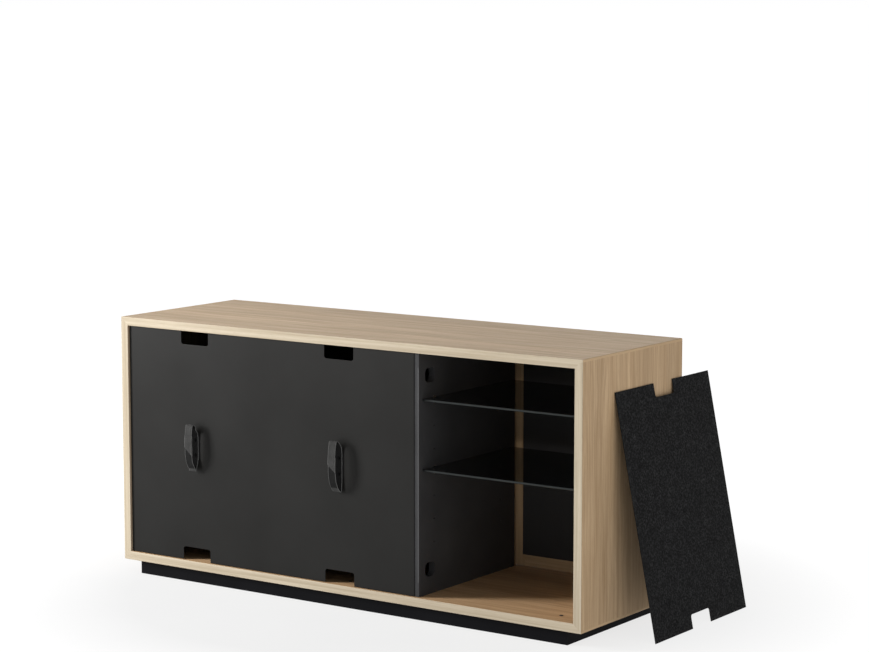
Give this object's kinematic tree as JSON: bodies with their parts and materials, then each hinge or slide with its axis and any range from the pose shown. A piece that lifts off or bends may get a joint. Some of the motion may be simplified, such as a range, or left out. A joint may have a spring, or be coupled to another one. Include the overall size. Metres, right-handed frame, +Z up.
{
  "type": "media cabinet",
  "caption": "Low oak media cabinet on a recessed black plinth, with slatted doors, glass shelves and lift-off steel back panels; one panel leans on the side.",
  "frame": {"origin": "middle of the plinth's underside, on the floor", "axes": "+Z up, doors face -Y, cable side faces +Y"},
  "size_m": [1.7079, 0.6867, 0.758],
  "materials": {
    "oak_case": "light oak veneer, matt clear lacquer",
    "oak_door": "solid light oak, matt clear lacquer",
    "black_lacquered_board": "black laminate, satin",
    "plinth_black": "black laminate, satin",
    "beech": "bare beech",
    "magnet": "black flexible magnet",
    "zinc_steel": "bright zinc plate",
    "nickel_steel": "bright nickel plate",
    "black_steel": "black powder coat, satin",
    "black_plastic": "fine moulded grain",
    "rubber": "soft matt",
    "brass": "turned",
    "screen_cloth": "open black acoustic weave on thin board",
    "panel_charcoal": "charcoal powder coat, textured inner face",
    "strap_webbing": "woven hook-and-loop webbing",
    "smoked_glass": "smoked, polished edges"
  },
  "bodies": {
    "case": {"top_panel": "oak_case", "bottom_panel": "oak_case", "side_left": "oak_case", "side_right": "oak_case", "divider_left": "black_lacquered_board", "divider_right": "black_lacquered_board", "rear_rail_left": "black_lacquered_board", "rear_rail_right": "black_lacquered_board", "mitre_splines": "beech", "divider_dowels": "beech", "magnet_strips": "magnet", "plinth_back": "plinth_black", "plinth_front": "plinth_black", "plinth_left": "plinth_black", "plinth_right": "plinth_black", "plinth_cross_rails": "plinth_black", "plinth_blocks": "plinth_black", "plinth_screws": "zinc_steel", "foot_sockets": "zinc_steel", "access_plugs": "black_plastic", "shelf_pins": "nickel_steel", "shelf_pads": "rubber", "door_catches": "black_plastic", "pivot_bushes": "brass"},
    "door_left": {"door_left_frame": "oak_door", "door_left_slats": "oak_door", "door_left_screen": "screen_cloth", "door_left_pins": "zinc_steel", "door_left_strike": "zinc_steel"},
    "door_centre": {"door_centre_frame": "oak_door", "door_centre_slats": "oak_door", "door_centre_screen": "screen_cloth", "door_centre_pins": "zinc_steel", "door_centre_strike": "zinc_steel"},
    "door_right": {"door_right_frame": "oak_door", "door_right_slats": "oak_door", "door_right_screen": "screen_cloth", "door_right_pins": "zinc_steel", "door_right_strike": "zinc_steel"},
    "panel_wide": {"back_panel_wide": "panel_charcoal", "strap_centre": "strap_webbing", "strap_right": "strap_webbing", "strap_plates_wide": "black_steel", "strap_rivets_wide": "black_steel"},
    "panel_small": {"back_panel_small": "panel_charcoal", "strap_left": "strap_webbing", "strap_plate_small": "black_steel", "strap_rivets_small": "black_steel"},
    "shelf_left_upper": {"shelf_left_upper": "smoked_glass"},
    "shelf_left_lower": {"shelf_left_lower": "smoked_glass"},
    "shelf_centre": {"shelf_centre": "smoked_glass"},
    "shelf_right": {"shelf_right": "smoked_glass"},
    "foot_front_left": {"foot_front_left": "black_plastic"},
    "foot_front_centre": {"foot_front_centre": "black_plastic"},
    "foot_front_right": {"foot_front_right": "black_plastic"},
    "foot_back_left": {"foot_back_left": "black_plastic"},
    "foot_back_centre": {"foot_back_centre": "black_plastic"},
    "foot_back_right": {"foot_back_right": "black_plastic"}
  },
  "joints": [
    {"name": "door_left_hinge", "type": "hinge", "parent": "case", "child": "door_left", "pos_m": [-0.738, -0.25, 0.399], "axis": [0, 0, -1], "range_deg": [0, 100]},
    {"name": "door_centre_hinge", "type": "hinge", "parent": "case", "child": "door_centre", "pos_m": [-0.234, -0.25, 0.399], "axis": [0, 0, -1], "range_deg": [0, 100]},
    {"name": "door_right_hinge", "type": "hinge", "parent": "case", "child": "door_right", "pos_m": [0.738, -0.25, 0.399], "axis": [0, 0, 1], "range_deg": [0, 100]},
    {"name": "panel_wide_pull_off", "type": "slide", "parent": "case", "child": "panel_wide", "axis": [0, 1, 0], "range_m": [0, 0.15]},
    {"name": "panel_small_tip", "type": "hinge", "parent": "case", "child": "panel_small", "pos_m": [-0.92046, -0.14875, 0.00039], "axis": [0, -1, 0], "range_deg": [0, 100]},
    {"name": "shelf_left_upper_lift", "type": "slide", "parent": "case", "child": "shelf_left_upper", "axis": [0, 0, 1], "range_m": [0, 0.03]},
    {"name": "shelf_left_lower_lift", "type": "slide", "parent": "case", "child": "shelf_left_lower", "axis": [0, 0, 1], "range_m": [0, 0.03]},
    {"name": "shelf_centre_lift", "type": "slide", "parent": "case", "child": "shelf_centre", "axis": [0, 0, 1], "range_m": [0, 0.03]},
    {"name": "shelf_right_lift", "type": "slide", "parent": "case", "child": "shelf_right", "axis": [0, 0, 1], "range_m": [0, 0.03]},
    {"name": "foot_front_left_screw", "type": "slide", "parent": "case", "child": "foot_front_left", "axis": [0, 0, -1], "range_m": [0, 0.012]},
    {"name": "foot_front_centre_screw", "type": "slide", "parent": "case", "child": "foot_front_centre", "axis": [0, 0, -1], "range_m": [0, 0.012]},
    {"name": "foot_front_right_screw", "type": "slide", "parent": "case", "child": "foot_front_right", "axis": [0, 0, -1], "range_m": [0, 0.012]},
    {"name": "foot_back_left_screw", "type": "slide", "parent": "case", "child": "foot_back_left", "axis": [0, 0, -1], "range_m": [0, 0.012]},
    {"name": "foot_back_centre_screw", "type": "slide", "parent": "case", "child": "foot_back_centre", "axis": [0, 0, -1], "range_m": [0, 0.012]},
    {"name": "foot_back_right_screw", "type": "slide", "parent": "case", "child": "foot_back_right", "axis": [0, 0, -1], "range_m": [0, 0.012]}
  ]
}
